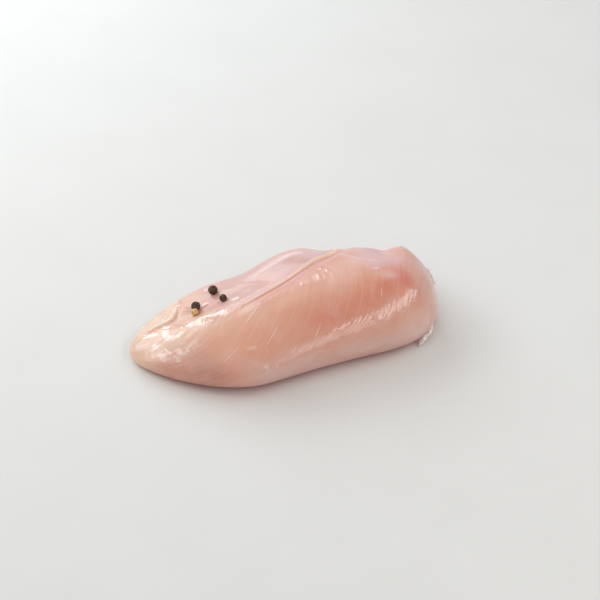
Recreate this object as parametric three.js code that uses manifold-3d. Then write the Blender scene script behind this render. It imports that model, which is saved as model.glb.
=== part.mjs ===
// A raw chicken breast, boned and skinned, lying on its flat side. The tail tip points to -X, the thick
// shoulder end to +X, and the rounded near side to -Y. Sizes are in millimetres, +Z is up, and the origin
// is in the middle of the foot that it lies on.
import * as THREE from "three";
import { mergeVertices } from "three/addons/utils/BufferGeometryUtils.js";
import Module from "manifold-3d";

const LENGTH = 170;
const HALF_LENGTH = LENGTH / 2;

// The form is drawn finely, then thinned, which leaves small facets only where the surface bends.
const RINGS = 320;
const RING_POINTS = 260;
const FACET_TOLERANCE = 0.1;

// Guide values, one for each station along the length, from beyond the tail tip to beyond the thick end.
const FIRST_STATION = -90;
const STATION_STEP = 20;
const MIDLINE = [9.5, 6, 3, 0.5, -0.5, -0.5, -1, -1, -0.5, 1.5];
const NEAR_REACH = [30, 39, 45.5, 46, 42, 40.5, 40, 43, 46.5, 44];
const FAR_REACH = [28, 36, 41, 43.5, 40, 45.2, 43.5, 42, 44, 54];
const CROWN_HEIGHT = [17, 22, 26.5, 30.5, 34, 37, 38.5, 39, 40, 43];
const WIDEST_HEIGHT = [7, 8.5, 10, 12, 13, 13.5, 13, 12.5, 12, 10];
const FAR_FALL = [0.2, 0.36, 0.4, 0.44, 0.36, 0.22, 0.16, 0.12, 0.06, 0];

// How blunt each end is: 2 is an ellipse, and a higher power is squarer. The thick end is rounder on
// its near side than along its top and far side.
const TAIL_POWER = 2.3;
const CROWN_POWER = 3.35;
const NEAR_POWER = 2.4;
const FAR_POWER = 2.9;

const BREAST_PINK = 0xe3b3a0;

function smoothStep(from, to, value) {
  return THREE.MathUtils.smoothstep(value, from, to);
}

function mound(distance, width) {
  return Math.exp(-((distance / width) ** 2));
}

// A round mound in plan, with its own reach along x and across y.
function spot(x, y, centre, reach) {
  return mound(Math.hypot((x - centre[0]) / reach[0], (y - centre[1]) / reach[1]), 1);
}

// The value of a guide at x, on a smooth curve through its stations.
function guide(values, x) {
  const place = THREE.MathUtils.clamp((x - FIRST_STATION) / STATION_STEP, 0, values.length - 1.001);
  const i = Math.floor(place);
  const at = (k) => values[THREE.MathUtils.clamp(k, 0, values.length - 1)];
  const [before, from, to, after] = [at(i - 1), at(i), at(i + 1), at(i + 2)];
  const t = place - i;
  const start = (to - before) / 2;
  const end = (after - from) / 2;
  return (
    from +
    start * t +
    (3 * (to - from) - 2 * start - end) * t * t +
    (2 * (from - to) + start + end) * t * t * t
  );
}

// A line drawn on the top in plan. It gives a point's distance from the line, which is positive on the
// far side, and how far along the line the point is, from 0 to 1.
function planLine(points) {
  const line = new THREE.SplineCurve(points.map(([x, y]) => new THREE.Vector2(x, y))).getPoints(24);
  return (x, y) => {
    let nearest = { away: Infinity, side: 1, along: 0 };
    for (let i = 0; i + 1 < line.length; i += 1) {
      const [from, to] = [line[i], line[i + 1]];
      const [dx, dy] = [to.x - from.x, to.y - from.y];
      const share = THREE.MathUtils.clamp(
        ((x - from.x) * dx + (y - from.y) * dy) / (dx * dx + dy * dy),
        0,
        1,
      );
      const [ax, ay] = [x - from.x - share * dx, y - from.y - share * dy];
      const away = Math.hypot(ax, ay);
      if (away < nearest.away) {
        nearest = { away, side: Math.sign(dx * ay - dy * ax) || 1, along: (i + share) / (line.length - 1) };
      }
    }
    return [nearest.away * nearest.side, nearest.along];
  };
}

// The seam where the inner fillet lies against the main muscle: a crease with a thin rib of fat beside it.
const seamLine = planLine([
  [-46, -13.5],
  [-36, -7.5],
  [-25, -2.5],
  [-14, 0.5],
  [-3, 4],
  [8, 8.5],
  [19, 15],
  [32, 21.5],
  [42, 31.5],
  [49, 40],
]);

function seam(x, y) {
  const [away, along] = seamLine(x, y);
  const fade = smoothStep(0.09, 0.4, along) * (1 - smoothStep(0.88, 1, along));
  return fade * (0.7 * mound(away - 1, 1.3) - 1.4 * mound(away + 1.8, 3.2));
}

// The inner fillet swells along the far side, beyond the seam.
const filletLine = planLine([[-26, 30.5], [-10, 30.5], [4, 30.5], [18, 30.5]]);

function innerFillet(x, y) {
  const [away, along] = filletLine(x, y);
  return 5 * mound(away, 11) * smoothStep(0, 0.6, along);
}

// The trimmed edge on the far side of the tail: a crease with a thin flap of fat beyond it.
const trimLine = planLine([
  [-80, 15],
  [-70, 14.5],
  [-61, 14.5],
  [-56, 18.5],
  [-53, 25.5],
  [-50, 33.5],
  [-47.5, 40],
]);

function trimmedEdge(x, y) {
  const [away, along] = trimLine(x, y);
  const fade = smoothStep(0, 0.2, along) * (1 - smoothStep(0.8, 1, along));
  return fade * (1.2 * mound(away - 3, 2.6) - 0.9 * mound(away + 0.4, 1.7));
}

// The hollow that holds the peppercorns, and the low ridge between it and the near side.
const tailRidgeLine = planLine([[-58, 9.5], [-50, 5.5], [-42, 1], [-35, -2]]);

function hollow(x, y) {
  return -3.4 * spot(x, y, [-46, 13], [16, 8]);
}

function tailRidge(x, y) {
  const [away, along] = tailRidgeLine(x, y);
  return 1.1 * mound(away, 3.6) * smoothStep(0, 0.45, along) * (1 - smoothStep(0.5, 1, along));
}

// The thick end has a raised corner with a knob on its far side, a dip before it, and a rib up to it.
const shoulderRibLine = planLine([[36, 37], [46, 33], [56, 29.5], [66, 27]]);

function shoulderCorner(x, y) {
  return 2 * spot(x, y, [74, 7.5], [7, 10]) - 2.5 * spot(x, y, [61, 16], [8, 12]);
}

function shoulderKnob(x, y) {
  return 3 * spot(x, y, [75, 21.5], [6.5, 8]);
}

function shoulderRib(x, y) {
  const [away, along] = shoulderRibLine(x, y);
  return 2.6 * mound(away, 6) * smoothStep(0, 0.25, along) * (1 - smoothStep(0.75, 1, along));
}

const reliefs = [
  seam,
  innerFillet,
  trimmedEdge,
  hollow,
  tailRidge,
  shoulderCorner,
  shoulderKnob,
  shoulderRib,
];

// How much further out the far flank reaches: a fold under the inner fillet, the fillet's swell above it,
// and a scoop towards each end. The turn goes round the section in degrees, from the far side to the crown,
// and above says how far past the fold it is. The fold climbs towards its two ends.
function farFlank(x, turn) {
  const above = turn - 9 * ((x + 2) / 45) ** 2;
  const fold = -2.2 * mound(above, 7) * smoothStep(-48, -30, x) * (1 - smoothStep(26, 42, x));
  const swell = 1.5 * mound(above - 30, 12) * smoothStep(-40, -20, x) * (1 - smoothStep(25, 45, x));
  const scoops = -2.6 * spot(x, turn, [58, 18], [13, 34]) - 1.6 * spot(x, turn, [-62, 30], [12, 30]);
  return fold + swell + scoops;
}

// How wide the section is at this share of the half length, from 0 at either end to 1 in the middle.
function sectionShare(share, shoulderPower) {
  const power = THREE.MathUtils.lerp(TAIL_POWER, shoulderPower, smoothStep(-0.2, 0.5, share));
  return Math.max(1 - Math.abs(share) ** power, 0) ** (1 / power);
}

// Carries a point of the unit sphere, whose poles lie on the X axis, to the surface of the meat.
function onBreast(n) {
  const x = HALF_LENGTH * n.x;
  const belt = Math.sqrt(Math.max(1 - n.x * n.x, 1e-9));
  const [across, up] = [n.y / belt, n.z / belt];
  const near = across < 0;
  const turn = THREE.MathUtils.radToDeg(Math.atan2(up, across));
  const reach = guide(near ? NEAR_REACH : FAR_REACH, x) + farFlank(x, turn);
  const y = guide(MIDLINE, x) + reach * sectionShare(n.x, near ? NEAR_POWER : FAR_POWER) * across;
  const ring = sectionShare(n.x, CROWN_POWER);
  const widest = guide(WIDEST_HEIGHT, x);
  const fall = 1 - guide(FAR_FALL, x) * smoothStep(-0.3, 1, across);
  const rise = (guide(CROWN_HEIGHT, x) - widest) * fall * ring;
  let z = widest * (0.35 + 0.65 * ring);
  z += up > 0 ? rise * up ** 0.92 : 1.5 * widest * ring * up;
  const faceUp = smoothStep(-0.1, 0.5, up);
  z += faceUp * reliefs.reduce((sum, relief) => sum + relief(x, y), 0);
  return new THREE.Vector3(x, y, Math.max(z, 0));
}

function meatGeometry() {
  const geometry = new THREE.SphereGeometry(1, RING_POINTS, RINGS).rotateZ(Math.PI / 2);
  const position = geometry.getAttribute("position");
  for (let i = 0; i < position.count; i += 1) {
    const p = onBreast(new THREE.Vector3().fromBufferAttribute(position, i));
    position.setXYZ(i, p.x, p.y, p.z);
  }
  return geometry;
}

const wasm = await Module();
wasm.setup();

function solid(geometry) {
  const bare = geometry.clone();
  bare.deleteAttribute("normal");
  bare.deleteAttribute("uv");
  const merged = mergeVertices(bare, 1e-3);
  return new wasm.Manifold(
    new wasm.Mesh({
      numProp: 3,
      vertProperties: merged.getAttribute("position").array,
      triVerts: new Uint32Array(merged.index.array),
    }),
  );
}

function geometryOf(made) {
  const mesh = made.getMesh();
  const geometry = new THREE.BufferGeometry();
  geometry.setAttribute("position", new THREE.BufferAttribute(mesh.vertProperties, 3));
  geometry.setIndex(new THREE.BufferAttribute(mesh.triVerts, 1));
  geometry.computeVertexNormals();
  return geometry;
}

// The meat's height at a place in plan, where a peppercorn lands.
function topHeight(x, y) {
  let best = { away: Infinity, z: 0 };
  const tries = 400;
  const nx = x / HALF_LENGTH;
  const belt = Math.sqrt(1 - nx * nx);
  for (let i = 0; i <= tries; i += 1) {
    const angle = (Math.PI * i) / tries;
    const p = onBreast(new THREE.Vector3(nx, belt * Math.cos(angle), belt * Math.sin(angle)));
    const away = Math.abs(p.y - y);
    if (away < best.away) best = { away, z: p.z };
  }
  return best.z;
}

// Whole peppercorns that lie in the hollow, pressed a little into the wet meat.
const PEPPERCORNS = [
  { at: [-33.5, 24.5], radius: 2.6 },
  { at: [-31.5, 13], radius: 2.1 },
  { at: [-45.5, 17.8], radius: 2.5 },
  { at: [-47.3, 13.8], radius: 2 },
];
const PRESSED_IN = 0.3;

function peppercorn({ at: [x, y], radius }) {
  return new THREE.SphereGeometry(radius, 10, 8).translate(x, y, topHeight(x, y) + radius - PRESSED_IN);
}

// Shreds of fat that hang from the cut rim of the thick end, and two beads of it higher up. Each is an
// egg whose length lies along the rim, sunk in the meat by about half.
const FAT_SHREDS = [
  { at: [72, -29, 7], radii: [1.8, 1.2, 1.2] },
  { at: [70, -30, 5], radii: [1.4, 1.5, 1] },
  { at: [67.5, -31.5, 4], radii: [1.8, 1.3, 1.2] },
  { at: [65, -32.5, 2.6], radii: [2, 1.4, 1.3] },
  { at: [62.5, -33, 2.2], radii: [1.5, 1.2, 1] },
  { at: [81.8, 0.5, 24], radii: [1, 1.3, 1] },
  { at: [83, -6, 19.5], radii: [0.9, 1.2, 1] },
];

function fatShred({ at: [x, y, z], radii }) {
  return new THREE.SphereGeometry(1, 8, 6).scale(...radii).translate(x, y, z);
}

let breast = solid(meatGeometry()).simplify(FACET_TOLERANCE);
for (const corn of PEPPERCORNS) breast = breast.add(solid(peppercorn(corn)));
for (const shred of FAT_SHREDS) breast = breast.add(solid(fatShred(shred)));

const group = new THREE.Group();
const breastMesh = new THREE.Mesh(
  geometryOf(breast),
  new THREE.MeshStandardMaterial({ color: BREAST_PINK, roughness: 0.35, metalness: 0 }),
);
breastMesh.name = "chicken_breast";
group.add(breastMesh);

export default group;
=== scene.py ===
"""A raw chicken breast, boned and skinned, lying on its flat side with four peppercorns on it.

The tail tip points to -X, the thick shoulder end to +X and the rounded near side to -Y. Blender works in
metres, and the forms are worked out in millimetres, as the CAD part's are.
"""

import math

import bmesh
import bpy
import numpy as np
from mathutils import Matrix, Vector, noise
from mathutils.bvhtree import BVHTree


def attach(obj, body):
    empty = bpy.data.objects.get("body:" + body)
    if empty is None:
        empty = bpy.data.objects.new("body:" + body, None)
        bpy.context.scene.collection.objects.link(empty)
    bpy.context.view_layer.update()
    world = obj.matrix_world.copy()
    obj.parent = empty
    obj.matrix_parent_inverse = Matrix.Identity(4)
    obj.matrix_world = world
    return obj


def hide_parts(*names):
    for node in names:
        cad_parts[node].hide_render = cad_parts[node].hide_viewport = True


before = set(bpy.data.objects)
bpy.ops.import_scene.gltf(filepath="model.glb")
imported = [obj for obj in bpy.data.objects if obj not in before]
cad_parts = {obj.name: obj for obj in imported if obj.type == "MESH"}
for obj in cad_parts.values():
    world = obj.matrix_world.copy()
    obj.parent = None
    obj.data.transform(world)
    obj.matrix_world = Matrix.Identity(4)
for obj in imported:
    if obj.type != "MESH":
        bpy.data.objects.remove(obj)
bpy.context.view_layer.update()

# The meat: the main breast muscle with the inner fillet still attached beside it, one soft wet piece.
# It narrows from the cut shoulder end to the tail tip, and its own weight flattens it where it lies.
# Its form follows the CAD solid's guides: each has one value for each station along X, in millimetres,
# apart from FAR_FALL, the share of its rise that the crown loses towards the far side.
MM = 0.001
HALF_LENGTH = 85.0
FIRST_STATION = -90.0
STATION_STEP = 20.0
MIDLINE = (9.5, 6, 3, 0.5, -0.5, -0.5, -1, -1, -0.5, 1.5)
NEAR_REACH = (30, 39, 45.5, 46, 42, 40.5, 40, 43, 46.5, 44)
FAR_REACH = (28, 36, 41, 43.5, 40, 45.2, 43.5, 42, 44, 54)
CROWN_HEIGHT = (17, 22, 26.5, 30.5, 34, 37, 38.5, 39, 40, 43)
WIDEST_HEIGHT = (7, 8.5, 10, 12, 13, 13.5, 13, 12.5, 12, 10)
FAR_FALL = (0.2, 0.36, 0.4, 0.44, 0.36, 0.22, 0.16, 0.12, 0.06, 0)
TAIL_POWER = 2.3
CROWN_POWER = 3.35
NEAR_POWER = 2.4
FAR_POWER = 2.9


def smooth_step(low, high, value):
    share = np.clip((value - low) / (high - low), 0, 1)
    return share * share * (3 - 2 * share)


def mound(distance, width):
    return np.exp(-((distance / width) ** 2))


def spot(x, y, centre, reach):
    """A round mound in plan, with its own reach along x and across y."""
    return mound(np.hypot((x - centre[0]) / reach[0], (y - centre[1]) / reach[1]), 1)


def smooth_curve(points, place):
    """Values on a smooth curve through points, where place counts points from 0."""
    points = np.array(points, float)
    last = len(points) - 1
    i = np.clip(np.floor(place).astype(int), 0, last - 1)
    t = place - i
    if points.ndim > 1:
        t = t[..., None]
    before, start, end, after = (points[np.clip(i + k, 0, last)] for k in (-1, 0, 1, 2))
    leave, arrive = (end - before) / 2, (after - start) / 2
    curve = 3 * (end - start) - 2 * leave - arrive
    return start + leave * t + curve * t**2 + (2 * (start - end) + leave + arrive) * t**3


def guide(values, x):
    """The value of a guide at x."""
    return smooth_curve(values, np.clip((x - FIRST_STATION) / STATION_STEP, 0, len(values) - 1.001))


def plan_line(points, steps=24):
    """A smooth line drawn on the top in plan: returns what measures a point's distance from it, positive
    on the far side, and how far along it the point is, from 0 to 1."""
    line = smooth_curve(points, np.linspace(0, len(points) - 1, steps + 1))

    def measure(x, y):
        nearest = np.full(x.shape, np.inf)
        side = np.ones(x.shape)
        along = np.zeros(x.shape)
        for k, (start, end) in enumerate(zip(line[:-1], line[1:])):
            run = end - start
            share = np.clip(((x - start[0]) * run[0] + (y - start[1]) * run[1]) / (run @ run), 0, 1)
            off_x, off_y = x - start[0] - share * run[0], y - start[1] - share * run[1]
            away = np.hypot(off_x, off_y)
            closer = away < nearest
            nearest = np.where(closer, away, nearest)
            side = np.where(closer, np.where(run[0] * off_y - run[1] * off_x < 0, -1, 1), side)
            along = np.where(closer, (k + share) / steps, along)
        return nearest * side, along

    return measure


SEAM_COURSE = (
    (-46, -13.5),
    (-36, -7.5),
    (-25, -2.5),
    (-14, 0.5),
    (-3, 4),
    (8, 8.5),
    (19, 15),
    (32, 21.5),
    (42, 31.5),
    (49, 40),
)
seam_line = plan_line(SEAM_COURSE)
fillet_line = plan_line([(-26, 30.5), (-10, 30.5), (4, 30.5), (18, 30.5)])
trim_line = plan_line(
    [(-80, 15), (-70, 14.5), (-61, 14.5), (-56, 18.5), (-53, 25.5), (-50, 33.5), (-47.5, 40)]
)
tail_ridge_line = plan_line([(-58, 9.5), (-50, 5.5), (-42, 1), (-35, -2)])
shoulder_rib_line = plan_line([(36, 37), (46, 33), (56, 29.5), (66, 27)])
SEAM_RIDGE_HEIGHT = 0.4
SEAM_VALLEY_DEPTH = 1.3
FILLET_HEIGHT = 5
TRIM_RIM_HEIGHT = 0.6
TRIM_GROOVE_DEPTH = 0.7
HOLLOW_DEPTH = 3.4
TAIL_RIDGE_HEIGHT = 1.1


def seam(x, y):
    """A low ridge where breast and fillet meet, with a wider valley on its near side."""
    away, along = seam_line(x, y)
    valley = smooth_step(0.09, 0.4, along) * smooth_step(1, 0.88, along)
    ridge = smooth_step(0.09, 0.4, along) * smooth_step(0.97, 0.75, along)
    raised = SEAM_RIDGE_HEIGHT * ridge * mound(away - 0.9, 1.2)
    return raised - SEAM_VALLEY_DEPTH * valley * mound(away + 1.8, 3.2)


def inner_fillet(x, y):
    away, along = fillet_line(x, y)
    return FILLET_HEIGHT * mound(away, 11) * smooth_step(0, 0.6, along)


def trimmed_edge(x, y):
    """The rim of the flap that the knife left at the tail, and the groove that it stands over."""
    away, along = trim_line(x, y)
    fade = smooth_step(0, 0.2, along) * smooth_step(0.9, 0.5, along)
    return fade * (TRIM_RIM_HEIGHT * mound(away - 2.6, 2.6) - TRIM_GROOVE_DEPTH * mound(away + 0.2, 1.1))


def hollow(x, y):
    return -HOLLOW_DEPTH * spot(x, y, (-46, 13), (16, 8))


def tail_ridge(x, y):
    away, along = tail_ridge_line(x, y)
    return TAIL_RIDGE_HEIGHT * mound(away, 3.6) * smooth_step(0, 0.45, along) * smooth_step(1, 0.5, along)


SHOULDER_RIB_HEIGHT = 2.6
SHOULDER_CORNER_HEIGHT = 2
SHOULDER_DIP_DEPTH = 2.5
SHOULDER_KNOB_HEIGHT = 3


def shoulder(x, y):
    """The thick end's raised corner, the dip before it, the knob on it and the rib that runs up to it."""
    away, along = shoulder_rib_line(x, y)
    rib = SHOULDER_RIB_HEIGHT * mound(away, 6) * smooth_step(0, 0.25, along) * smooth_step(1, 0.75, along)
    corner = SHOULDER_CORNER_HEIGHT * spot(x, y, (74, 7.5), (7, 10))
    dip = SHOULDER_DIP_DEPTH * spot(x, y, (61, 16), (8, 12))
    return rib + corner - dip + SHOULDER_KNOB_HEIGHT * spot(x, y, (75, 21.5), (6.5, 8))


FLANK_FOLD_DEPTH = 2.2
FLANK_FOLD_BOW = 9
FLANK_FOLD_REACH = 45
FLANK_SWELL = 1.5
SHOULDER_SCOOP_DEPTH = 2.6
TAIL_SCOOP_DEPTH = 1.6


def far_flank(x, turn):
    """How much further out the far flank reaches, by the turn round the section in degrees: a fold under
    the inner fillet, which bows up towards both ends, the fillet's swell above it, and a scoop near each
    end."""
    above = turn - FLANK_FOLD_BOW * ((x + 2) / FLANK_FOLD_REACH) ** 2
    fold = FLANK_FOLD_DEPTH * mound(above, 7) * smooth_step(-48, -30, x) * smooth_step(42, 26, x)
    swell = FLANK_SWELL * mound(above - 30, 12) * smooth_step(-40, -20, x) * smooth_step(45, 25, x)
    scoops = SHOULDER_SCOOP_DEPTH * spot(x, turn, (58, 18), (13, 34))
    scoops = scoops + TAIL_SCOOP_DEPTH * spot(x, turn, (-62, 30), (12, 30))
    return swell - fold - scoops


def section_share(share, shoulder_power):
    """How wide the section is at this share of the half length, from 0 at either end to 1 in the middle. A
    higher power makes a blunter end."""
    power = TAIL_POWER + (shoulder_power - TAIL_POWER) * smooth_step(-0.2, 0.5, share)
    return np.clip(1 - np.abs(share) ** power, 0, None) ** (1 / power)


# Towards the ends the widest line sinks by FLOOR_PINCH of its height. UPPER_POWER fills out the section
# above that line, and UNDERCUT tucks the flanks in below it.
FLOOR_PINCH = 0.65
UPPER_POWER = 0.92
UNDERCUT = 1.5


def on_breast(share, angle):
    """Points of the meat's surface: share is the place along the half length, from -1 to 1, and angle goes
    round the section from the far side over the crown."""
    x = HALF_LENGTH * np.asarray(share)
    across, up = np.cos(angle), np.sin(angle)
    near = across < 0
    turn = (np.degrees(angle) + 180) % 360 - 180
    reach = np.where(near, guide(NEAR_REACH, x), guide(FAR_REACH, x)) + far_flank(x, turn)
    reach = reach * np.where(near, section_share(share, NEAR_POWER), section_share(share, FAR_POWER))
    y = guide(MIDLINE, x) + reach * across
    ring = section_share(share, CROWN_POWER)
    widest = guide(WIDEST_HEIGHT, x)
    fall = 1 - guide(FAR_FALL, x) * smooth_step(-0.3, 1, across)
    rise = (guide(CROWN_HEIGHT, x) - widest) * fall * ring
    z = widest * (1 - FLOOR_PINCH + FLOOR_PINCH * ring)
    z = z + np.where(up > 0, rise * np.abs(up) ** UPPER_POWER, UNDERCUT * widest * ring * up)
    relief = seam(x, y) + inner_fillet(x, y) + trimmed_edge(x, y)
    relief = relief + hollow(x, y) + tail_ridge(x, y) + shoulder(x, y)
    z = z + smooth_step(-0.1, 0.5, up) * relief
    return x, y, np.maximum(z, 0)


NOISE_CELLS = 128


def soft_noise(u, v, seed):
    """A smooth random field, from -1 to 1, with about one feature in each unit of u and v."""
    cells = np.random.default_rng(seed).uniform(-1, 1, (NOISE_CELLS, NOISE_CELLS))
    row, column = np.floor(u).astype(int), np.floor(v).astype(int)
    down, right = smooth_step(0, 1, u - row), smooth_step(0, 1, v - column)
    near_row, near_column = row % NOISE_CELLS, column % NOISE_CELLS
    next_row, next_column = (row + 1) % NOISE_CELLS, (column + 1) % NOISE_CELLS
    low = cells[near_row, near_column] * (1 - right) + cells[near_row, next_column] * right
    high = cells[next_row, near_column] * (1 - right) + cells[next_row, next_column] * right
    return low * (1 - down) + high * down


def long_ball(bm, around, lengthwise):
    """A closed ball with its poles on the X axis. Returns its points, how far along it each one is, from -1
    to 1, and each one's angle round it."""
    verts = bmesh.ops.create_uvsphere(bm, u_segments=around, v_segments=lengthwise, radius=1)["verts"]
    bmesh.ops.rotate(bm, verts=verts, matrix=Matrix.Rotation(math.pi / 2, 3, "Y"))
    unit = np.array([v.co for v in verts])
    return verts, np.clip(unit[:, 0], -1, 1), np.arctan2(unit[:, 2], unit[:, 1]) % (2 * math.pi)


def finish_piece(name, bm):
    """Makes the bmesh a smooth-shaded object that moves with the breast."""
    for face in bm.faces:
        face.smooth = True
    mesh = bpy.data.meshes.new(name)
    bm.to_mesh(mesh)
    bm.free()
    piece = bpy.data.objects.new(name, mesh)
    bpy.context.scene.collection.objects.link(piece)
    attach(piece, "root")
    return piece


# Most of the mesh's points go to the top, fewer to the undercut flanks and very few to the flat foot. The
# flanks end FLANK_ANGLE below the widest line, in radians.
SECTION_POINTS = 230
LENGTH_POINTS = 418
TOP_SHARE = 0.76
FLANK_SHARE = 0.1
FLANK_ANGLE = 0.76

bm = bmesh.new()
verts, share, turn = long_ball(bm, SECTION_POINTS, LENGTH_POINTS)
angle = np.interp(
    turn / (2 * math.pi),
    (0, TOP_SHARE, TOP_SHARE + FLANK_SHARE, 1 - FLANK_SHARE, 1),
    (0, math.pi, math.pi + FLANK_ANGLE, 2 * math.pi - FLANK_ANGLE, 2 * math.pi),
)
x, y, z = on_breast(share, angle)
for vert, place in zip(verts, np.stack([x, y, z], 1) * MM):
    vert.co = place
bm.normal_update()
normals = np.array([v.normal for v in bm.verts])

# Muscle fibres run from the crown down the sides and lean to the tail as they go, the more the nearer it
# they are, and low on the near side they run almost along it. "across" counts millimetres over the fibres
# and "along" those down them.
MM_PER_DEGREE = 0.6
SHOULDER_LEAN = 0.3
TAIL_LEAN_GAIN = 0.4
LOW_SWEEP = 30
SWEEP_START = 52
from_crown = (np.degrees(angle) + 90) % 360 - 180
lean = SHOULDER_LEAN + TAIL_LEAN_GAIN * smooth_step(40, -60, x)
low_sweep = LOW_SWEEP * (np.clip(from_crown - SWEEP_START, 0, None) / 40) ** 2 * smooth_step(0, 35, x)
across = x + lean * (np.hypot(from_crown, 8) - 8) + low_sweep
along = MM_PER_DEGREE * from_crown
seam_away, seam_along = seam_line(x, y)
face_up = smooth_step(-0.3, 0.3, np.sin(angle))
fillet = smooth_step(0.5, 2.5, seam_away) * smooth_step(-44, -24, x) * smooth_step(52, 44, x) * face_up

# Fine relief that the solid leaves out: bundles of fibre, ripples in the wet tail, the ragged flap, small
# blisters of juice, a groove along the tail, and wrinkles, most of them low on the near side. A blister is
# its place, its reach and its height, and a crease is the places that it runs through, its width and its
# height, all in plan and in millimetres.
BLISTERS = (
    ((-35.2, 33.3), (1.6, 1.3), 0.35),
    ((-52, 28.2), (1.1, 1.7), 0.35),
    ((21.9, 6), (1, 1), 0.3),
    ((23.7, 2.5), (0.8, 0.8), 0.25),
    ((22.4, 15), (0.9, 0.9), 0.25),
    ((7.4, -3.8), (0.6, 2), 0.15),
    ((-26.9, 8.3), (2.6, 1.4), 0.4),
    ((-40.3, 17.6), (1.5, 1.2), 0.4),
    ((-61.5, 17.4), (1.3, 1), 0.4),
)
CREASES = (
    (((17.9, 4.7), (17.6, 0.1), (16.9, -3.9), (16, -8)), 1.1, 0.22),
    (((-33.5, -31.6), (-30.2, -32.4), (-27, -33)), 1, 0.5),
    (((-34.7, -31.4), (-31.6, -36.6), (-28.2, -41.2)), 0.9, -0.3),
    (((-28, -41), (-26.5, -42.2), (-25.2, -42.9)), 1, 0.4),
    (((-24, -36), (-22.6, -36.3)), 1, 0.4),
    (((-21.2, -42.5), (-20, -42.8)), 1, 0.35),
    (((-56, 9), (-50, 7), (-43, 4.5), (-37, 0.5)), 2.8, -0.35),
)

# Juice lies thicker along some ragged lines, and they shine. Each is its places, its half width and how
# wet it is.
WET_LINES = (
    (((-64, 15), (-65.8, 8), (-67, 2.5), (-64, -1.5), (-59.5, -2)), 1.9, 1),
    (((-75, 13), (-72, 9.5)), 1.8, 1),
    (((-74.5, -2), (-70.5, -9), (-67, -16)), 2.8, 1),
    (((-69, -11), (-62, -13.5), (-56, -13)), 2.6, 1),
    (((-56, 7), (-50.5, 3), (-45.5, 0.5), (-40, 0.5), (-36.8, -0.8)), 3.2, 1),
    (((-53, 1.5), (-48, -1.5), (-42, -2.5)), 2, 0.75),
    (((-9, -39.6), (-2, -38.9), (5, -38)), 2.4, 0.75),
    (((5, -38), (14.4, -36.5), (24, -34.8)), 2, 0.62),
    (((22, -35), (29, -34), (34, -33.2)), 3, 0.9),
    (((42.2, -31.5), (48.5, -30), (55.5, -27)), 3.2, 0.9),
    (((54, -28), (60, -25), (66, -21.5)), 2.8, 0.6),
    (((56, -31.5), (61, -29), (66, -26)), 3, 0.5),
)
WET_BASE = 0.25
RAGGED_ALONG = 0.35
RAGGED_ALL_OVER = 0.25
FIBRE_HEIGHT = 0.03
SWELL_HEIGHT = 0.2
ENDS_DRAWN_IN = 0.1
RIPPLE_HEIGHT = 0.2
FLAP_LUMP_HEIGHT = 0.2
FLAP_SHRED_HEIGHT = 0.12
SEAM_GROOVE_DEPTH = 0.04
SEAM_CREASE_OFFSET = 0.9
past_tip = smooth_step(-84, -74, x)
tail_wet = spot(x, y, (-62, 2), (17, 16)) * past_tip
trim_away, trim_along = trim_line(x, y)
flap = smooth_step(-0.5, 2, trim_away) * smooth_step(-83, -76, x) * smooth_step(-44, -50, x) * face_up
between_ends = smooth_step(-85, -74, x) * smooth_step(85, 78, x)
lumps = FLAP_LUMP_HEIGHT * soft_noise(x / 2, y / 3, 14)
shreds = FLAP_SHRED_HEIGHT * soft_noise(x / 0.9, y / 1.6, 15)
relief = FIBRE_HEIGHT * soft_noise(across / 1.9, along / 16, 11) * past_tip
relief += SWELL_HEIGHT * (soft_noise(x / 11, along / 11, 12) - 0.5) * between_ends
relief -= ENDS_DRAWN_IN * smooth_step(70, 84, np.abs(x))
relief += RIPPLE_HEIGHT * tail_wet * soft_noise(across / 3.2, along / 6, 13)
relief += flap * (lumps + shreds)
groove = mound(seam_away + SEAM_CREASE_OFFSET, 0.6) * smooth_step(0.2, 0.5, seam_along) * face_up
relief -= SEAM_GROOVE_DEPTH * groove
wet = np.full(x.shape, WET_BASE)
ragged = 1 + RAGGED_ALONG * soft_noise(across / 2, along / 6, 21)
ragged += RAGGED_ALL_OVER * soft_noise(x / 1.6, y / 1.6, 22)
for centre, reach, height in BLISTERS:
    blister = spot(x, y, centre, reach) * face_up
    relief += height * blister
    wet = np.maximum(wet, smooth_step(0.1, 0.4, blister))
glints = np.zeros(x.shape)
for points, width, height in CREASES:
    crease_away, crease_along = plan_line(points)(x, y)
    faded = smooth_step(0, 0.3, crease_along) * smooth_step(1, 0.7, crease_along)
    relief += height * mound(crease_away, width) * faded * face_up
    if height > 0:
        glints = np.maximum(glints, mound(crease_away, 0.7 * width) * faded * face_up)
for points, width, amount in WET_LINES:
    wet_away, _ = plan_line(points)(x, y)
    covered = smooth_step(1.5, 0.5, np.abs(wet_away) / width / ragged) * face_up
    wet = np.maximum(wet, amount * covered)
wet = np.maximum(wet, glints)
for vert, normal, rise in zip(verts, normals, relief * MM * smooth_step(0, 2, z)):
    vert.co += Vector(normal * rise)
bm.normal_update()
meat_surface = BVHTree.FromBMesh(bm)
breast = finish_piece("chicken_breast_meat", bm)


def srgb(red, green, blue):
    """A colour given in 0 to 255 as it looks, in the linear numbers that shaders take."""
    channels = np.array([red, green, blue]) / 255
    return np.where(channels <= 0.04045, channels / 12.92, ((channels + 0.055) / 1.055) ** 2.4)


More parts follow.
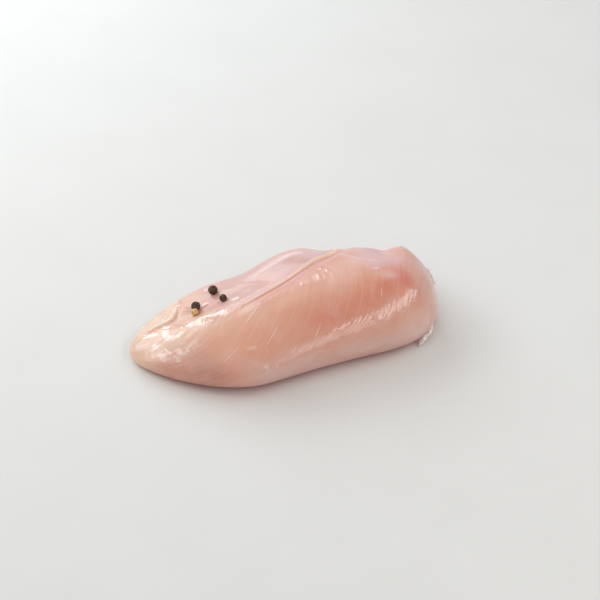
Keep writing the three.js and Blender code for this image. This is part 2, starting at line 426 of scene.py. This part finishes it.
# The colour of the flesh changes over the piece: salmon on the dome, cream at the tail, lilac on the
# fillet and deeper red near the cut. Some tints are painted light and shade: painted shade beside the
# seam, in the flap's groove, low on the near side towards the tail and as deeper red by the floor,
# painted bounce light on the low rim, painted sheen that makes the low near side paler grey pink and
# the thick end's rim paler over its own pale cut, and painted highlights in small pale dabs, on the
# glints and along the pale membrane of the fillet's crest. Each tint is a colour and how much of it
# each of the meat's points takes, laid over those before it.
fillet_crest = plan_line([(-13, 23), (-6, 24.5), (1, 25), (9, 26), (17, 27)])
salmon_stretch = plan_line([(-4, -28.5), (12, -30), (26, -28), (38, -25), (54, -20)])
shoulder_film = plan_line([(38, 28), (39, 18), (41.5, 12), (46, 7), (54, 3), (60, -2)])


def along_line(line, width):
    """How near the meat's points are to a line, from 0 to 1, fading towards the line's ends."""
    away, part = line(x, y)
    return mound(away, width) * smooth_step(0, 0.2, part) * smooth_step(1, 0.8, part) * face_up


low_front = smooth_step(26, 13, z) * smooth_step(0, -20, y)
beside_seam = smooth_step(0.16, 0.3, seam_along) * smooth_step(0.95, 0.7, seam_along) * face_up
# Painted highlights: two soft pale dabs on the fillet.
painted_highlight_dabs = spot(x, y, (-5.6, 20), (2.4, 1.3)) + spot(x, y, (-19, 11.5), (2.6, 1.7))
# Painted shade in the groove under the flap's rim.
trim_groove_shade = mound(trim_away + 0.3, 0.7) * smooth_step(0.02, 0.15, trim_along) * face_up
TINTS = (
    ((229, 182, 172), smooth_step(-12, 14, y) * smooth_step(62, 40, x) * 0.6),
    ((235, 196, 172), smooth_step(-8, -66, x) * smooth_step(-36, -22, y)),
    ((222, 148, 114), spot(x, y, (-46, -21), (16, 10)) * 0.55),
    ((236, 194, 168), spot(x, y, (-8, -12), (18, 6)) * 0.5),
    # Painted sheen: the low near side paler and greyer pink.
    ((224, 188, 177), low_front * smooth_step(-46, -22, x) * 0.85),
    # Painted shade: the low near side darker towards the tail.
    ((196, 138, 124), low_front * smooth_step(-38, -54, x) * 0.75),
    ((222, 178, 169), fillet),
    # Painted shade: darker pinks along both sides of the seam, the next three tints.
    ((216, 152, 142), mound(seam_away + 4, 3) * beside_seam * 0.5),
    ((208, 146, 134), mound(seam_away + 8, 3.5) * beside_seam * 0.4),
    ((214, 156, 150), mound(seam_away - 3, 3.5) * beside_seam * 0.6),
    ((212, 154, 146), spot(x, y, (-38, 17), (11, 8)) * 0.75),
    ((230, 190, 196), smooth_step(40, 52, x) * smooth_step(-12, 4, y) * 0.8),
    ((240, 198, 182), spot(x, y, (27, -9), (16, 9)) * 0.6),
    ((220, 134, 108), along_line(salmon_stretch, 6) * 0.75),
    ((222, 126, 103), spot(x, y, (50.5, -18.5), (6, 6)) * 0.8),
    ((222, 116, 112), spot(x, y, (62, -14.5), (5, 7.5)) * 0.75),
    ((228, 140, 104), spot(x, y, (36, -17), (16, 9)) * 0.35),
    ((216, 138, 118), spot(x, y, (70, -19), (5, 7)) * 0.4),
    ((216, 158, 146), spot(x, y, (-9, 16), (7, 5)) * 0.45),
    ((240, 200, 196), spot(x, y, (54.5, -11), (5, 3)) * 0.6),
    ((242, 206, 192), spot(x, y, (38, 6), (12, 8)) * 0.5),
    ((240, 210, 212), spot(x, y, (24, 23), (10, 7)) * 0.8 * fillet),
    # Painted highlight: a small pale spot on the dome.
    ((242, 216, 216), spot(x, y, (49.3, -4.5), (1.8, 0.9)) * 0.8),
    ((230, 196, 188), smooth_step(62, 78, x) * 0.8),
    # Painted sheen: the thick end's low near side paler pink.
    ((238, 204, 192), smooth_step(44, 66, x) * smooth_step(-26, -36, y) * 0.6),
    # The thick end's near rim paler: its own paler cut with painted sheen over it.
    ((244, 216, 210), smooth_step(73, 82, x) * smooth_step(14, 4, y) * 0.75),
    ((216, 160, 142), spot(x, y, (68, 12), (10, 9)) * 0.65),
    # Painted highlights: the two pale dabs on the fillet.
    ((240, 212, 204), painted_highlight_dabs * 0.5),
    # A pale membrane line along the fillet's crest, with a painted highlight on it.
    ((238, 212, 210), along_line(fillet_crest, 1.1) * 0.75),
    ((236, 205, 210), along_line(shoulder_film, 1.2) * 0.6),
    # Painted bounce light: the low rim lighter pink.
    ((222, 172, 170), smooth_step(13, 7, z) * smooth_step(-60, -40, x) * 0.5),
    # Painted shadow: deeper red where the meat meets the floor.
    ((206, 104, 84), smooth_step(6, 1, z) * smooth_step(-86, -62, x) * 0.8),
    ((244, 216, 192), flap * 0.85),
    ((243, 216, 204), glints * 0.35),
    # Painted shade: darker pink in the flap's groove.
    ((214, 140, 130), trim_groove_shade * 0.5),
)
BASE_FLESH = (227, 162, 136)
flesh = np.tile(srgb(*BASE_FLESH), (len(x), 1))
for colour, amount in TINTS:
    flesh += (srgb(*colour) - flesh) * np.clip(amount, 0, 1)[:, None]
mesh = breast.data
painted = mesh.color_attributes.new("flesh", "FLOAT_COLOR", "POINT")
painted.data.foreach_set("color", np.concatenate([flesh, np.ones((len(x), 1))], 1).ravel())


def keep_places(name, first, second, third):
    """Keeps three values for each of the meat's points, which the material reads as a place."""
    attribute = mesh.attributes.new(name, "FLOAT_VECTOR", "POINT")
    attribute.data.foreach_set("vector", np.stack([first, second, third], 1).ravel())


# The line of fat lies on the seam's ridge, wider towards the thick end, with painted shade, a darker
# red line, in the crease on its near side.
# Ripples in the wet tail slant across it, and the flesh just below the seam is duller than the rest.
SEAM_FAT_OFFSET = 0.7
SEAM_FAT_NARROW = 0.6
SEAM_FAT_GAIN = 0.85
SEAM_FAT_LEAST = 0.05
NO_FAT = 50
RIPPLE_WAY = (0.9, 0.42)
widening = smooth_step(0.35, 0.85, seam_along) * (1 + 0.2 * soft_noise(x / 2, y / 2, 16))
seam_fat_width = (SEAM_FAT_NARROW + SEAM_FAT_GAIN * widening) * smooth_step(1, 0.88, seam_along)
has_fat = (seam_along > 0.23) & (seam_along < 0.99)
off_line = np.where(has_fat, seam_away - SEAM_FAT_OFFSET, NO_FAT)
# The crease on the seam's near side, where the material paints shade.
crease = mound(seam_away + SEAM_CREASE_OFFSET, 0.8) * smooth_step(0.5, 0.8, seam_along) * face_up
rippled = spot(x, y, (-68, -9), (13, 9)) * face_up
over_ripples = RIPPLE_WAY[0] * x + RIPPLE_WAY[1] * y
down_ripples = RIPPLE_WAY[1] * x - RIPPLE_WAY[0] * y
combed = smooth_step(-80, -45, x) * smooth_step(84, 74, x) * (1 - 0.6 * fillet)
matt = mound(seam_away + 7, 4) * beside_seam * smooth_step(0.6, 0.3, wet)
keep_places("fibre", across, along, np.zeros(x.shape))
keep_places("seam", off_line, np.maximum(seam_fat_width, SEAM_FAT_LEAST), np.zeros(x.shape))
keep_places("ripple", over_ripples, down_ripples, rippled)
for name, amount in (("wet", wet), ("matt", matt), ("crease", crease), ("combed", combed)):
    attribute = mesh.attributes.new(name, "FLOAT", "POINT")
    attribute.data.foreach_set("value", amount.astype(np.float32))


def new_material(name):
    """A node material that holds only a shader, and that shader."""
    material = bpy.data.materials.new(name)
    material.use_nodes = True
    material.node_tree.nodes.clear()
    shader = add_node(material, "ShaderNodeBsdfPrincipled")
    add_node(material, "ShaderNodeOutputMaterial", {"Surface": shader.outputs["BSDF"]})
    return material, shader


def add_node(material, kind, inputs=None, **settings):
    """A node with its settings, and with each input given a value or joined to another node's output."""
    node = material.node_tree.nodes.new(kind)
    for name, value in settings.items():
        setattr(node, name, value)
    for name, value in (inputs or {}).items():
        if isinstance(value, bpy.types.NodeSocket):
            material.node_tree.links.new(value, node.inputs[name])
        else:
            node.inputs[name].default_value = value
    return node


def set_shader(material, shader, **inputs):
    """Sets the shader's inputs, named with _ for each space, to a value or another node's output."""
    for name, value in inputs.items():
        socket = shader.inputs[name.replace("_", " ")]
        if isinstance(value, bpy.types.NodeSocket):
            material.node_tree.links.new(value, socket)
        else:
            socket.default_value = value


def read(material, name, output="Fac"):
    """A value that the mesh keeps for each of its points."""
    return add_node(material, "ShaderNodeAttribute", attribute_name=name).outputs[output]


def remap(material, value, low, high, to_low, to_high):
    """Takes a value from one range to another, smoothly, and holds it within the second."""
    inputs = {"Value": value, "From Min": low, "From Max": high, "To Min": to_low, "To Max": to_high}
    return add_node(material, "ShaderNodeMapRange", inputs, interpolation_type="SMOOTHSTEP").outputs[0]


def mix(material, amount, first, second, blend="MIX"):
    """Two colours blended by amount."""
    inputs = {0: amount, 6: first, 7: second}
    return add_node(material, "ShaderNodeMix", inputs, data_type="RGBA", blend_type=blend).outputs[2]


def combine(material, first, second, operation="MULTIPLY"):
    return add_node(material, "ShaderNodeMath", {0: first, 1: second}, operation=operation).outputs[0]


def streaks(material, over, down_them, detail=2.0, place="fibre"):
    """Noise drawn out along the fibres or ripples: over and down_them are its cycles in a millimetre."""
    flow = {"Vector": read(material, place, "Vector"), "Scale": (over, down_them, 0)}
    stretched = add_node(material, "ShaderNodeMapping", flow)
    inputs = {"Vector": stretched.outputs[0], "Scale": 1.0, "Detail": detail, "Roughness": 0.55}
    return add_node(material, "ShaderNodeTexNoise", inputs).outputs["Fac"]


def blotches(material, size, detail=2.0):
    """Soft patches about size metres across, fixed to the piece."""
    place = add_node(material, "ShaderNodeTexCoord").outputs["Object"]
    inputs = {"Vector": place, "Scale": 1 / size, "Detail": detail}
    return add_node(material, "ShaderNodeTexNoise", inputs).outputs["Fac"]


# The flesh takes soft deeper and milky patches, the line of fat, paler and darker fibres, and painted
# shade in the crease on the seam's near side.
DEEP_FLESH = (0.76, 0.35, 0.23, 1)
MILKY_FLESH = (0.82, 0.57, 0.52, 1)
SEAM_FAT = (1.0, 0.72, 0.56, 1)
PALE_FIBRE = (0.9, 0.68, 0.6, 1)
FIBRE_GAP = (0.6, 0.27, 0.2, 1)
# Painted shade for the seam's crease.
SEAM_CREASE_SHADE = (0.9, 0.38, 0.32, 1)
raw_meat, shader = new_material("raw_meat")
skin = read(raw_meat, "flesh", "Color")
deeper = remap(raw_meat, blotches(raw_meat, 0.016, 3.0), 0.45, 0.7, 0, 0.4)
skin = mix(raw_meat, deeper, skin, DEEP_FLESH)
milky = remap(raw_meat, blotches(raw_meat, 0.013, 2.0), 0.45, 0.75, 0, 0.22)
skin = mix(raw_meat, milky, skin, MILKY_FLESH)
seam_place = add_node(raw_meat, "ShaderNodeSeparateXYZ", {0: read(raw_meat, "seam", "Vector")})
from_line = combine(raw_meat, seam_place.outputs["X"], seam_place.outputs["Y"], "DIVIDE")
off_middle = add_node(raw_meat, "ShaderNodeMath", {0: from_line}, operation="ABSOLUTE").outputs[0]
on_line = remap(raw_meat, off_middle, 1.15, 0.55, 0, 0.9)
skin = mix(raw_meat, on_line, skin, SEAM_FAT)
paler = remap(raw_meat, streaks(raw_meat, 0.75, 0.03, 3.0), 0.48, 0.75, 0, 0.2)
skin = mix(raw_meat, combine(raw_meat, paler, read(raw_meat, "combed")), skin, PALE_FIBRE)
between = remap(raw_meat, streaks(raw_meat, 0.5, 0.035, 4.0), 0.5, 0.28, 0, 0.14)
skin = mix(raw_meat, between, skin, FIBRE_GAP)
# Painted shade: a darker red line in the crease on the seam's near side.
skin = mix(raw_meat, combine(raw_meat, read(raw_meat, "crease"), 0.3), skin, SEAM_CREASE_SHADE)


def bump(material, height, strength, distance, over=None):
    """A normal raised by height, up to distance metres, over another normal where one is given."""
    inputs = {"Height": height, "Strength": strength, "Distance": distance}
    if over:
        inputs["Normal"] = over
    return add_node(material, "ShaderNodeBump", inputs).outputs[0]


# Relief finer than the mesh: fibres, the tail's ripples and the unevenness of the wet film.
FIBRE_BUMP = 0.0002
RIPPLE_BUMP = 0.00035
FILM_BUMP = 0.00012
ripple_place = add_node(raw_meat, "ShaderNodeSeparateXYZ", {0: read(raw_meat, "ripple", "Vector")})
rippled_share = ripple_place.outputs["Z"]
ridged = bump(raw_meat, streaks(raw_meat, 0.45, 0.08, 3.0), read(raw_meat, "combed"), FIBRE_BUMP)
ridged = bump(raw_meat, streaks(raw_meat, 0.5, 0.12, 3.0, "ripple"), rippled_share, RIPPLE_BUMP, ridged)
film = bump(raw_meat, blotches(raw_meat, 0.004), 1, FILM_BUMP, ridged)

# The film of juice is the shader's coat: thin all over, full where it is wet, frayed along the fibres at
# its edges, and broken by dry streaks in the tail's ripples and by short dry strokes elsewhere.
FULLY_WET = 0.95
dry_streaks = remap(raw_meat, streaks(raw_meat, 0.6, 0.15, 3.0, "ripple"), 0.42, 0.58, 0, 1)
dry_streaks = combine(raw_meat, dry_streaks, combine(raw_meat, rippled_share, 0.95))
frayed = combine(raw_meat, combine(raw_meat, streaks(raw_meat, 0.7, 0.09, 3.0), 0.5, "SUBTRACT"), 1.1)
wet_edge = combine(raw_meat, read(raw_meat, "wet"), frayed, "ADD")
wet_film = remap(raw_meat, wet_edge, 0.45, 0.6, WET_BASE, FULLY_WET)
wet_film = combine(raw_meat, wet_film, combine(raw_meat, 1, dry_streaks, "SUBTRACT"))
wet_film = combine(raw_meat, wet_film, remap(raw_meat, read(raw_meat, "matt"), 0, 1, 1, 0.3))
strokes = remap(raw_meat, streaks(raw_meat, 0.85, 0.1, 3.0), 0.52, 0.42, 0, 0.55)
strokes = combine(raw_meat, strokes, read(raw_meat, "combed"))
wet_film = combine(raw_meat, wet_film, combine(raw_meat, 1, strokes, "SUBTRACT"))
set_shader(
    raw_meat,
    shader,
    Base_Color=skin,
    Normal=film,
    Coat_Normal=film,
    Roughness=0.5,
    IOR=1.38,
    Subsurface_Weight=0.35,
    Subsurface_Radius=(1.0, 0.45, 0.3),
    Subsurface_Scale=0.003,
    Coat_Weight=wet_film,
    Coat_Roughness=0.045,
    Coat_IOR=1.9,
)
mesh.materials.append(raw_meat)
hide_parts("chicken_breast")


# Threads of connective tissue: fine cream strands that fray from the seam where it runs out over the
# meat, and a few that cross the dome. They cling to the wet surface along their whole length. Each is the
# places that it runs through, in plan, and its half width.
THREADS = (
    (((-24.2, -1.5), (-26.7, 0.2), (-29.2, 0.8), (-33.5, 0), (-37, -2.5)), 0.24),
    (((-24.4, -1.6), (-27.2, -3.4), (-30.2, -5.6), (-34.8, -8.2), (-37.9, -9.9), (-42, -12)), 0.28),
    (((-16.5, -5.3), (-19.9, -9.1), (-23, -11.9), (-25.7, -14), (-28.4, -16.3)), 0.34),
    (((-12, -23.5), (-15.9, -27.3), (-18.6, -29.8), (-23.3, -33.2)), 0.16),
    (((8.4, -30.7), (5.3, -33.8), (1.9, -37.1), (-1.2, -39.5)), 0.16),
    (((-36.2, -28.3), (-42, -30.4), (-46.5, -31.6)), 0.12),
    (((46.6, -19.2), (45.7, -21.9), (44.9, -24)), 0.12),
)
THREAD_STOPS = 16
THREAD_FLATNESS = 0.3
TAPER_POWER = 0.6


def on_top(at_x, at_y):
    """The place on the meat's top at a place in plan, in millimetres, and the way that it faces there."""
    above = Vector((at_x, at_y, 2 * CROWN_HEIGHT[-1])) * MM
    place, facing, _, _ = meat_surface.ray_cast(above, Vector((0, 0, -1)))
    return np.array(place) / MM, np.array(facing)


def strand(bm, places, outward, half_width, half_height, around=6):
    """A closed strand through places, tapered at both ends. Outward is the way that its top faces."""
    verts, share, angle = long_ball(bm, around, 2 * len(places))
    place = (share + 1) / 2 * (len(places) - 1)
    centre = smooth_curve(places, place)
    run = smooth_curve(places, np.clip(place + 0.05, 0, None)) - smooth_curve(places, place - 0.05)
    up = smooth_curve(outward, place)
    side = np.cross(up, run)
    side /= np.linalg.norm(side, axis=1, keepdims=True)
    taper = (1 - share**2)[:, None] ** TAPER_POWER
    out = side * half_width * np.cos(angle)[:, None] + up * half_height * np.sin(angle)[:, None]
    for vert, co in zip(verts, (centre + taper * out) * MM):
        vert.co = co


bm = bmesh.new()
for stops, half_width in THREADS:
    stops = smooth_curve(stops, np.linspace(0, len(stops) - 1, THREAD_STOPS))
    places, outward = (np.array(found) for found in zip(*(on_top(*stop) for stop in stops)))
    strand(bm, places, outward, half_width, THREAD_FLATNESS * half_width)
threads = finish_piece("connective_threads", bm)
cream_film, shader = new_material("cream_film")
film_tone = remap(cream_film, blotches(cream_film, 0.003), 0.35, 0.65, 0, 1)
set_shader(
    cream_film,
    shader,
    Base_Color=mix(cream_film, film_tone, (0.93, 0.6, 0.47, 1), (0.98, 0.7, 0.58, 1)),
    Roughness=0.45,
)
threads.data.materials.append(cream_film)


# Peppercorns: dried berries with a wrinkled skin, dropped on the meat and held by its wetness. Three are
# dark and one is pale. Each is a ball whose skin has shrunk into ridges: its place in plan and its radius.
DARK_CORNS = ((-33.5, 24.5, 2.6), (-31.5, 13.0, 2.1), (-45.5, 17.8, 2.5))
PALE_CORNS = ((-47.3, 13.8, 2.0),)
PRESSED_IN = 0.3
WRINKLE_CELLS = 2.4
RIDGE_WIDTH = 0.22
LUMP_CELLS = 1.3
LUMPINESS = 0.04
ROUGH_CELLS = 9
FINE_ROUGHNESS = 0.02


def peppercorns(name, corns, shrunk, seed):
    """Balls whose skin sinks by shrunk, a share of the radius, between a net of ridges."""
    bm = bmesh.new()
    for k, (at_x, at_y, radius) in enumerate(corns):
        (_, _, height), _ = on_top(at_x, at_y)
        centre = Vector((at_x, at_y, height + radius - PRESSED_IN))
        for vert in bmesh.ops.create_icosphere(bm, subdivisions=5, radius=1)["verts"]:
            cells = noise.voronoi(vert.co * WRINKLE_CELLS + Vector((seed + 7 * k, 0, 0)))[0]
            sunk = 1 - math.exp(-(((cells[1] - cells[0]) / RIDGE_WIDTH) ** 2))
            lumpy = LUMPINESS * noise.noise(vert.co * LUMP_CELLS + Vector((0, seed + k, 0)))
            fine = FINE_ROUGHNESS * noise.noise(vert.co * ROUGH_CELLS)
            vert.co = (centre + vert.co * radius * (1 - shrunk * sunk + lumpy + fine)) * MM
    return finish_piece(name, bm)


def pepper_skin(name, dark, light, roughness):
    material, shader = new_material(name)
    patches = remap(material, blotches(material, 0.0009, 4.0), 0.4, 0.7, 0, 1)
    set_shader(
        material,
        shader,
        Base_Color=mix(material, patches, dark, light),
        Roughness=roughness,
        Specular_IOR_Level=0.35,
    )
    return material


dark_corns = peppercorns("dark_peppercorns", DARK_CORNS, 0.13, 31)
dark_pepper = pepper_skin("dark_pepper", (0.036, 0.022, 0.014, 1), (0.2, 0.115, 0.065, 1), 0.45)
dark_corns.data.materials.append(dark_pepper)
pale_corn = peppercorns("pale_peppercorn", PALE_CORNS, 0.05, 41)
pale_pepper = pepper_skin("pale_pepper", (0.6, 0.36, 0.12, 1), (0.9, 0.68, 0.32, 1), 0.4)
pale_corn.data.materials.append(pale_pepper)


# Shreds of fat and membrane left on the cut rim of the thick end: short soft strands, white and half
# clear, that cling to the edge where the knife tore through. Each is its two ends and its radius.
FAT_SHREDS = (
    ((72.6, -29, 9), (72.2, -29.6, 7.4), 0.8),
    ((71.9, -29.8, 7.3), (70.4, -30.6, 6), 0.95),
    ((70.4, -30.6, 5.9), (68, -31.5, 4.7), 0.75),
    ((67.7, -31.5, 4.5), (66.2, -32.2, 3.4), 1.25),
    ((66, -32.6, 3.2), (65, -32.6, 2.2), 1.0),
    ((82.3, 0.9, 24.3), (82.5, 0.2, 24), 0.95),
    ((82.4, -0.2, 23.7), (82.9, -2.9, 22), 0.5),
    ((82.9, -2.4, 22.2), (83.4, -5.4, 20.3), 0.4),
    ((83, -2.9, 21.7), (83.6, -3.6, 19.8), 0.32),
    ((83.4, -5.9, 20), (83.5, -6.5, 19.6), 0.78),
)
SHRED_REACH = 1.3
SHRED_LUMP_CELLS = 1.5
SHRED_LUMPS = 0.4
SHRED_FINE_CELLS = 4
SHRED_FINE_LUMPS = 0.12
bm = bmesh.new()
for k, (start, end, radius) in enumerate(FAT_SHREDS):
    start, end = Vector(start), Vector(end)
    run = end - start
    stretch = Matrix.Scale(1 + run.length / (2 * radius) * SHRED_REACH, 3, run.normalized())
    for vert in bmesh.ops.create_icosphere(bm, subdivisions=5, radius=1)["verts"]:
        lumps = SHRED_LUMPS * noise.noise(vert.co * SHRED_LUMP_CELLS + Vector((k * 5, 0, 0)))
        lumps += SHRED_FINE_LUMPS * noise.noise(vert.co * SHRED_FINE_CELLS)
        vert.co = ((start + end) / 2 + stretch @ vert.co * radius * (1 + lumps)) * MM
fat_shreds = finish_piece("fat_shreds", bm)
soft_fat, shader = new_material("soft_fat")
fat_patches = remap(soft_fat, blotches(soft_fat, 0.003), 0.35, 0.65, 0, 1)
set_shader(
    soft_fat,
    shader,
    Base_Color=mix(soft_fat, fat_patches, (0.93, 0.75, 0.68, 1), (0.99, 0.92, 0.87, 1)),
    Roughness=0.4,
    Subsurface_Weight=0.4,
    Subsurface_Radius=(1.0, 0.7, 0.6),
    Subsurface_Scale=0.0006,
    Coat_Weight=1.0,
    Coat_Roughness=0.06,
    Coat_IOR=1.6,
)
fat_shreds.data.materials.append(soft_fat)


# The floor is a plain pale sheet that the meat lies on. It isn't part of the object.
FLOOR_HALF_WIDTH = 3
bm = bmesh.new()
bmesh.ops.create_grid(bm, x_segments=1, y_segments=1, size=FLOOR_HALF_WIDTH)
floor_mesh = bpy.data.meshes.new("floor")
bm.to_mesh(floor_mesh)
bm.free()
floor = bpy.data.objects.new("floor", floor_mesh)
bpy.context.scene.collection.objects.link(floor)
pale_floor, shader = new_material("pale_floor")
grain = remap(pale_floor, blotches(pale_floor, 0.05), 0, 1, 0, 1)
set_shader(
    pale_floor,
    shader,
    Base_Color=mix(pale_floor, grain, (0.8, 0.78, 0.75, 1), (0.83, 0.81, 0.78, 1)),
    Roughness=0.7,
)
floor_mesh.materials.append(pale_floor)


# Soft studio light: an even room, a broad window and a smaller one behind the meat that shine in its wet
# tail, two narrow strips in front that draw the streak along the near side, and a wide weak one in front.
# A strip runs from one direction to another, given as bearing and height, and has a width and a power.
AIM = Vector((0.018, 0.0285, 0))
ROOM_STRENGTH = 0.36
FRONT_DISTANCE = 1.8
STRIP_DISTANCE = 0.8
STRIPS = (
    ("low_strip", (-74, 18), (-61, 43), 0.2, 0.36),
    ("high_strip", (-62, 43), (8, 37), 0.2, 1.18),
)


def direction(azimuth, elevation):
    """The way from the object to something at this bearing in plan from +X and this height, in degrees."""
    around, up = math.radians(azimuth), math.radians(elevation)
    flat = math.cos(up)
    return Vector((math.cos(around) * flat, math.sin(around) * flat, math.sin(up)))


def area_light(name, place, long_way, size, watts, colour=(1, 1, 1)):
    """A rectangle of light at a place, facing the object, with its length along long_way."""
    data = bpy.data.lights.new(name, "AREA")
    data.shape = "RECTANGLE"
    data.size, data.size_y = size
    data.energy = watts
    data.color = colour
    light = bpy.data.objects.new(name, data)
    back = (place - AIM).normalized()
    along = (long_way - back * long_way.dot(back)).normalized()
    turned = Matrix((along, back.cross(along), back)).transposed().to_4x4()
    light.matrix_world = Matrix.Translation(place) @ turned
    bpy.context.scene.collection.objects.link(light)


room = bpy.data.worlds.new("room")
room.use_nodes = True
room.node_tree.nodes["Background"].inputs["Color"].default_value = (1, 1, 1, 1)
room.node_tree.nodes["Background"].inputs["Strength"].default_value = ROOM_STRENGTH
bpy.context.scene.world = room
day = (0.84, 0.94, 1.0)
area_light("window", AIM + direction(104, 28), Vector((1, 0.25, 0)), (0.95, 0.5), 5.5, day)
area_light("side", AIM + direction(148, 38), Vector((1, 1, 0)), (0.6, 0.42), 2.0)
for name, start, end, width, watts in STRIPS:
    start, end = direction(*start), direction(*end)
    length = 2 * STRIP_DISTANCE * math.tan(start.angle(end) / 2)
    place = AIM + (start + end).normalized() * STRIP_DISTANCE
    area_light(name, place, end - start, (length, width), watts)
area_light("front", AIM + direction(-130, 60) * FRONT_DISTANCE, Vector((1, 0, 0)), (2.2, 2.2), 8)

# The camera stands in front of the near side, a little to the tail's side, with a long lens.
CAMERA_AZIMUTH = -20
CAMERA_ELEVATION = 37
CAMERA_DISTANCE = 2 / 1.8
LENS = 120
SENSOR_WIDTH = 36
camera_data = bpy.data.cameras.new("camera")
camera_data.lens = LENS
camera_data.sensor_width = SENSOR_WIDTH
camera = bpy.data.objects.new("camera", camera_data)
back = direction(CAMERA_AZIMUTH - 90, CAMERA_ELEVATION)
right = direction(CAMERA_AZIMUTH, 0)
turned = Matrix((right, back.cross(right), back)).transposed().to_4x4()
camera.matrix_world = Matrix.Translation(AIM + back * CAMERA_DISTANCE) @ turned
bpy.context.scene.collection.objects.link(camera)
bpy.context.scene.camera = camera
bpy.context.scene.view_settings.view_transform = "Standard"
